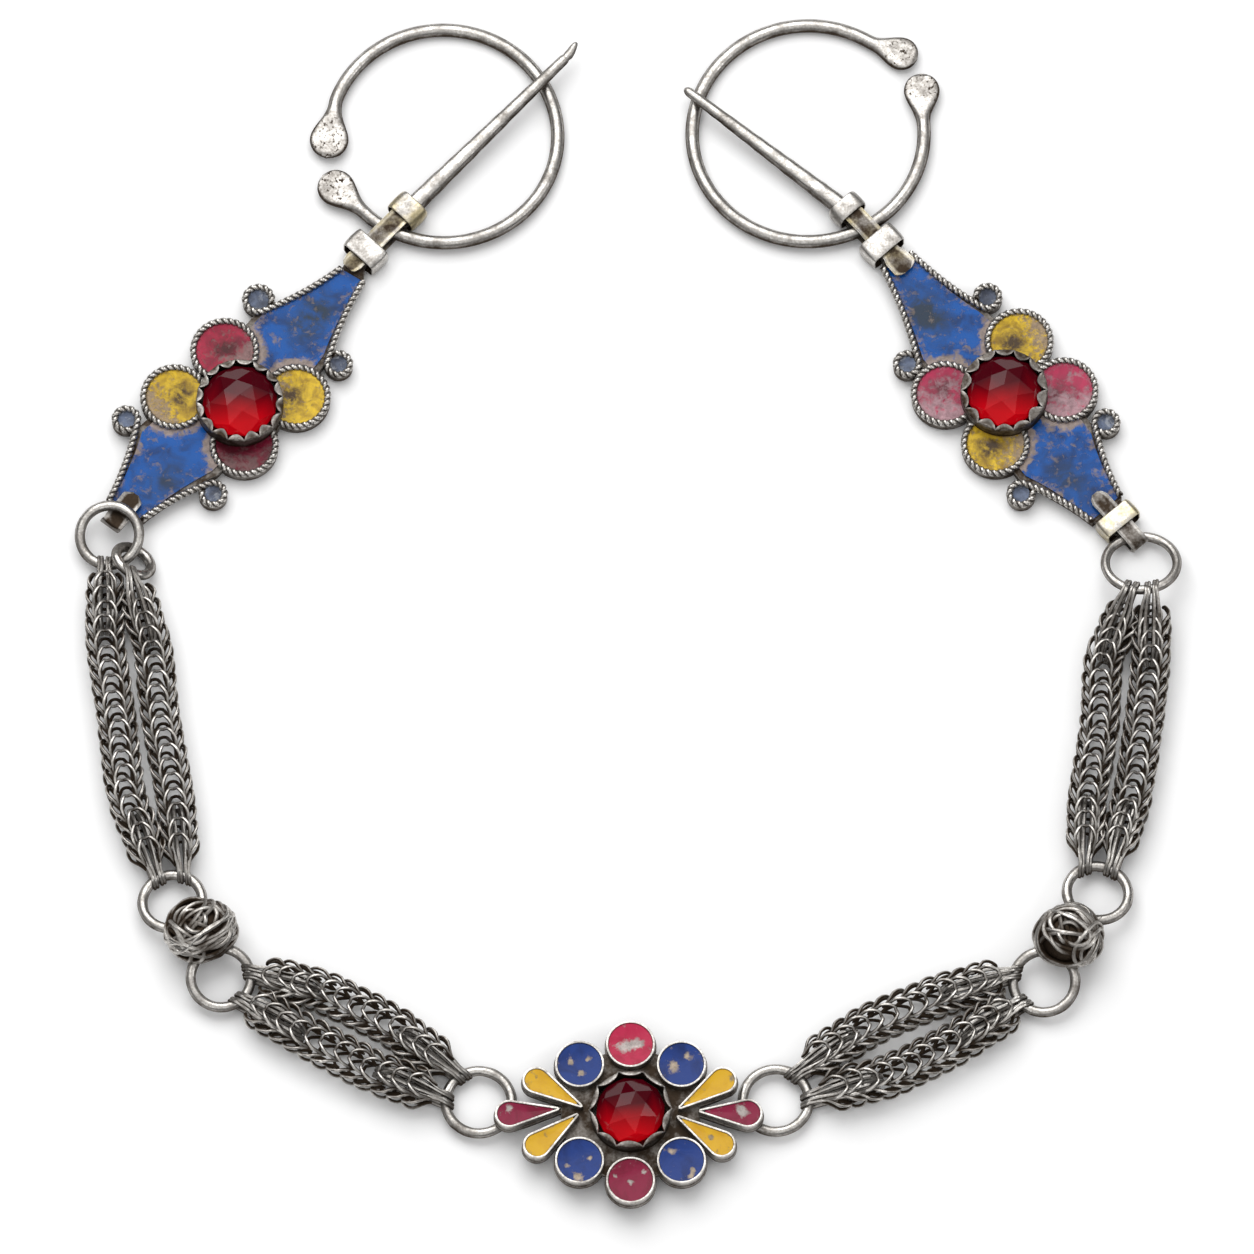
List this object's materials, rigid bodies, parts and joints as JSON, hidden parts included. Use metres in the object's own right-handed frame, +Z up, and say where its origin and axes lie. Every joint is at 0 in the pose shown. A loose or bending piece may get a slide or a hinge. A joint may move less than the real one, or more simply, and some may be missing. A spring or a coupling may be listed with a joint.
{
  "type": "berber fibula brooch",
  "caption": "Enamelled silver penannular fibulae joined by woven wire chains and a rosette; each pin passes cloth and its open ring turns to hold it.",
  "frame": {"origin": "middle of the lying object's box, on the surface that it lies on", "axes": "+Z up from the surface, +Y towards the open rings and pins, +X to the right as seen from above"},
  "size_m": [0.1882, 0.2158, 0.0105],
  "materials": {
    "silver": "worn silver, dark in the hollows",
    "dark_red_enamel": "glossy enamel with worn spots",
    "grey_blue_enamel": "glossy enamel, pale and worn",
    "chain_silver": "fine silver wire, dark between the wires",
    "yellow_enamel": "glossy enamel with brown spots",
    "blue_enamel": "glossy enamel with worn spots",
    "ring_silver": "smooth worn silver with hammer marks",
    "brassy_silver": "silver sheet with a brassy solder film",
    "red_stone": "faceted, deep red, backed",
    "red_enamel": "glossy enamel with worn spots",
    "pink_enamel": "glossy enamel with whitish wear",
    "rosette_blue_enamel": "glossy enamel with beige chips",
    "mustard_enamel": "glossy enamel with grey-brown specks"
  },
  "bodies": {
    "chained_fibulae": {"left_bail_ring": "silver", "left_bail_strap": "silver", "left_bottom_lobe": "dark_red_enamel", "left_corner_enamels": "grey_blue_enamel", "left_eye_strap": "silver", "left_inner_strand": "chain_silver", "left_knot": "chain_silver", "left_left_lobe": "yellow_enamel", "left_link_ring": "silver", "left_lower_blue": "blue_enamel", "left_lower_knot_ring": "silver", "left_lower_strand": "chain_silver", "left_neck_band": "silver", "left_outer_strand": "chain_silver", "left_pin": "ring_silver", "left_pin_collar": "brassy_silver", "left_plaque": "silver", "left_right_lobe": "yellow_enamel", "left_rosette_ring": "silver", "left_stone": "red_stone", "left_top_lobe": "red_enamel", "left_upper_blue": "blue_enamel", "left_upper_knot_ring": "silver", "left_upper_strand": "chain_silver", "right_bail_band": "brassy_silver", "right_bail_ring": "silver", "right_bail_strap": "silver", "right_bottom_lobe": "yellow_enamel", "right_corner_enamels": "grey_blue_enamel", "right_eye_strap": "silver", "right_inner_strand": "chain_silver", "right_knot": "chain_silver", "right_left_lobe": "pink_enamel", "right_lower_blue": "blue_enamel", "right_lower_knot_ring": "silver", "right_lower_strand": "chain_silver", "right_neck_band": "silver", "right_outer_strand": "chain_silver", "right_pin": "ring_silver", "right_pin_collar": "silver", "right_plaque": "silver", "right_right_lobe": "pink_enamel", "right_rosette_ring": "silver", "right_stone": "red_stone", "right_top_lobe": "yellow_enamel", "right_upper_blue": "blue_enamel", "right_upper_knot_ring": "silver", "right_upper_strand": "chain_silver", "rosette": "silver", "rosette_blue_lower_left": "rosette_blue_enamel", "rosette_blue_lower_right": "rosette_blue_enamel", "rosette_blue_upper_left": "rosette_blue_enamel", "rosette_blue_upper_right": "rosette_blue_enamel", "rosette_left_petals": "mustard_enamel", "rosette_pink_bottom": "pink_enamel", "rosette_pink_top": "pink_enamel", "rosette_right_petals": "mustard_enamel", "rosette_stone": "red_stone"},
    "left_ring": {"left_ring": "ring_silver"},
    "right_ring": {"right_ring": "ring_silver"}
  },
  "joints": [
    {"name": "left_ring_turn", "type": "hinge", "parent": "chained_fibulae", "child": "left_ring", "pos_m": [-0.03149, 0.08647, 0.00153], "axis": [0.009, 0.017, 0.9998], "range_deg": [-265, 2]},
    {"name": "right_ring_turn", "type": "hinge", "parent": "chained_fibulae", "child": "right_ring", "pos_m": [0.03071, 0.08697, 0.00153], "axis": [-0.0089, 0.0167, 0.9998], "range_deg": [-58, 228]}
  ]
}
